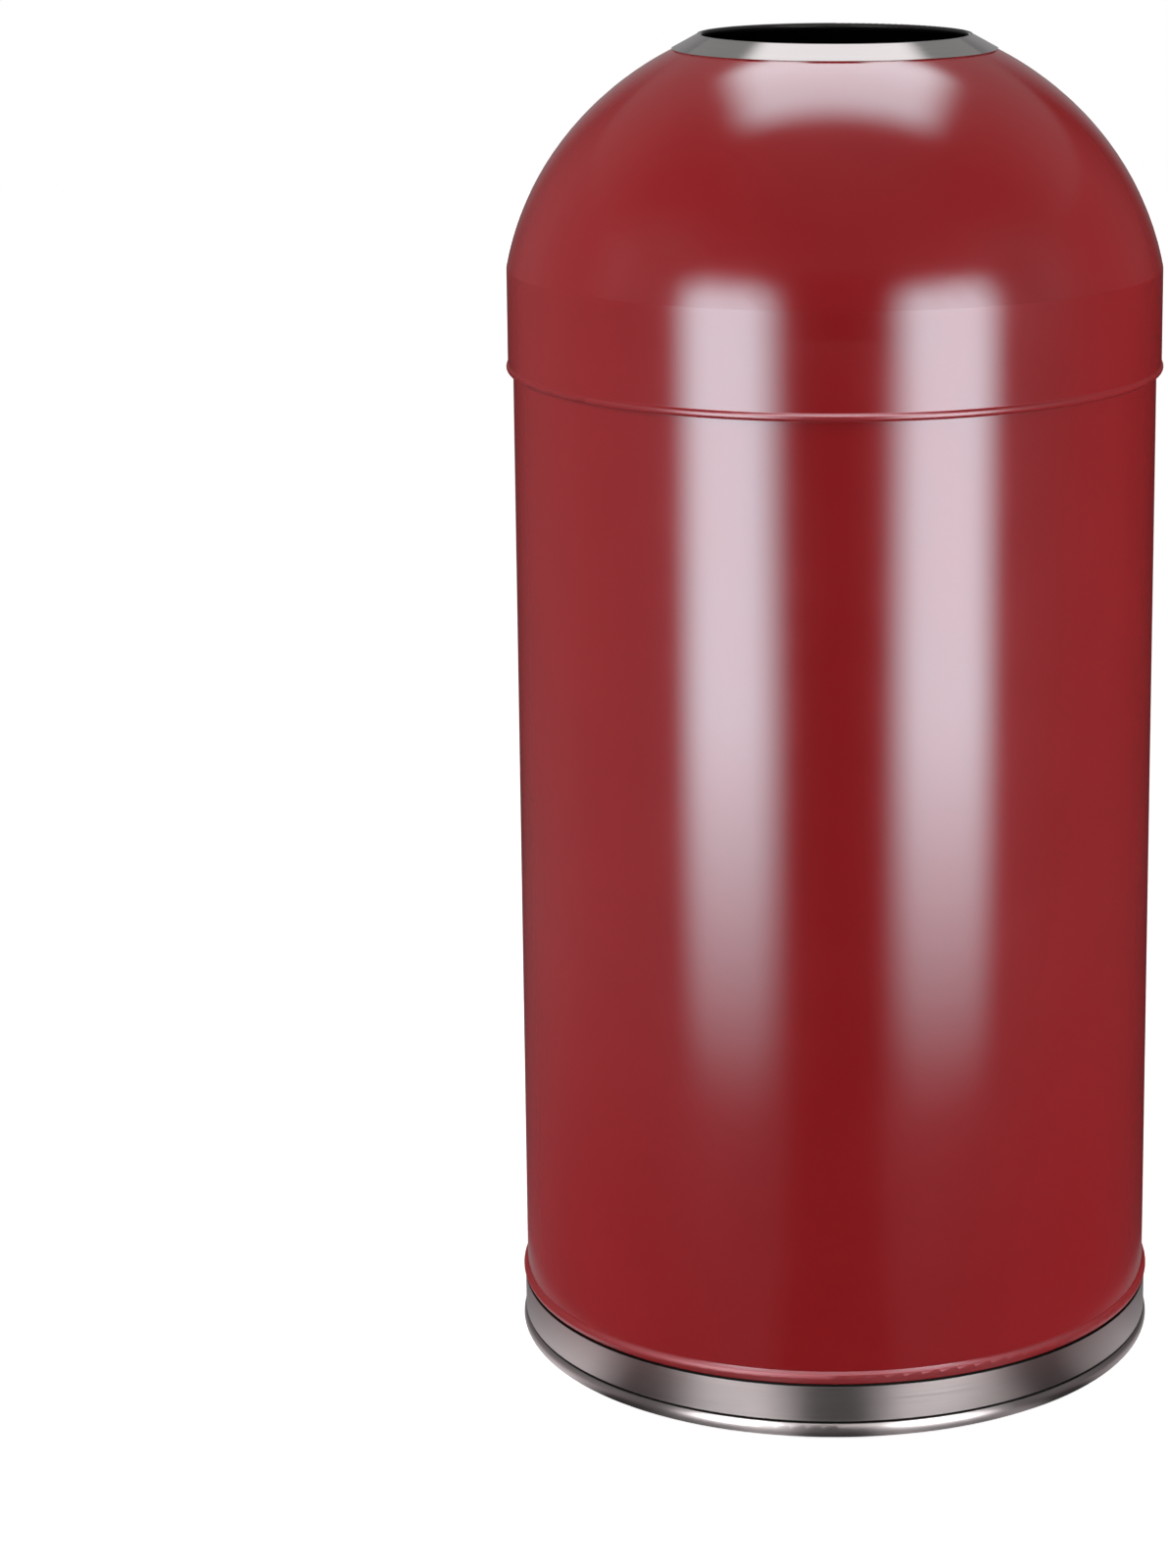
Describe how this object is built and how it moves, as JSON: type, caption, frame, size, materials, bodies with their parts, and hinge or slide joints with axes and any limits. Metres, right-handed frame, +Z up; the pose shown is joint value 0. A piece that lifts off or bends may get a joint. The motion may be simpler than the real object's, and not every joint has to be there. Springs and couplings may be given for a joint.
{
  "type": "outdoor trash can",
  "caption": "Round steel outdoor trash can with a lift-off open-mouth dome lid, a stainless base band and a removable inner pail with a folding bail.",
  "frame": {"origin": "on the floor under the bin's centre line, level with the soles of the rubber feet", "axes": "+Z up along the bin's axis, the front faces -Y, the pail's bail turns about X"},
  "size_m": [0.3879, 0.388, 0.7907],
  "materials": {
    "red_lacquer": "satin",
    "stainless_band": "brushed",
    "polished_stainless": "polished",
    "galvanised_sheet": "spangled",
    "zinc_fastener": "zinc plated",
    "steel_wire": "drawn",
    "foot_rubber": "matte",
    "grip_plastic": "matte"
  },
  "bodies": {
    "can": {"body_shell": "red_lacquer", "neck_ring": "galvanised_sheet", "base_band": "stainless_band", "base_tray": "galvanised_sheet", "rubber_foot_1": "foot_rubber", "rubber_foot_2": "foot_rubber", "rubber_foot_3": "foot_rubber", "rubber_foot_4": "foot_rubber", "foot_washers": "zinc_fastener", "foot_screws": "zinc_fastener", "foot_nuts": "zinc_fastener"},
    "lid": {"dome_shell": "red_lacquer", "mouth_ring": "polished_stainless"},
    "pail": {"pail_wall": "galvanised_sheet", "pail_floor": "galvanised_sheet", "pail_rim_wire": "steel_wire", "right_ear": "zinc_fastener", "left_ear": "zinc_fastener", "ear_rivets": "zinc_fastener"},
    "bail": {"pail_bail": "steel_wire"},
    "grip": {"bail_grip": "grip_plastic"}
  },
  "joints": [
    {"name": "dome_lift", "type": "slide", "parent": "can", "child": "lid", "axis": [0, 0, 1], "range_m": [0, 0.75]},
    {"name": "pail_lift", "type": "slide", "parent": "can", "child": "pail", "axis": [0, 0, 1], "range_m": [0, 0.605]},
    {"name": "bail_swing", "type": "hinge", "parent": "pail", "child": "bail", "pos_m": [0, 0, 0.57025], "axis": [1, 0, 0], "range_deg": [0, 180]},
    {"name": "grip_spin", "type": "hinge", "parent": "bail", "child": "grip", "pos_m": [0, 0.14667, 0.57025], "axis": [1, 0, 0], "continuous": true}
  ],
  "couplings": [
    {"joint": "pail_lift", "follows": "dome_lift", "ratio": 0.8}
  ]
}
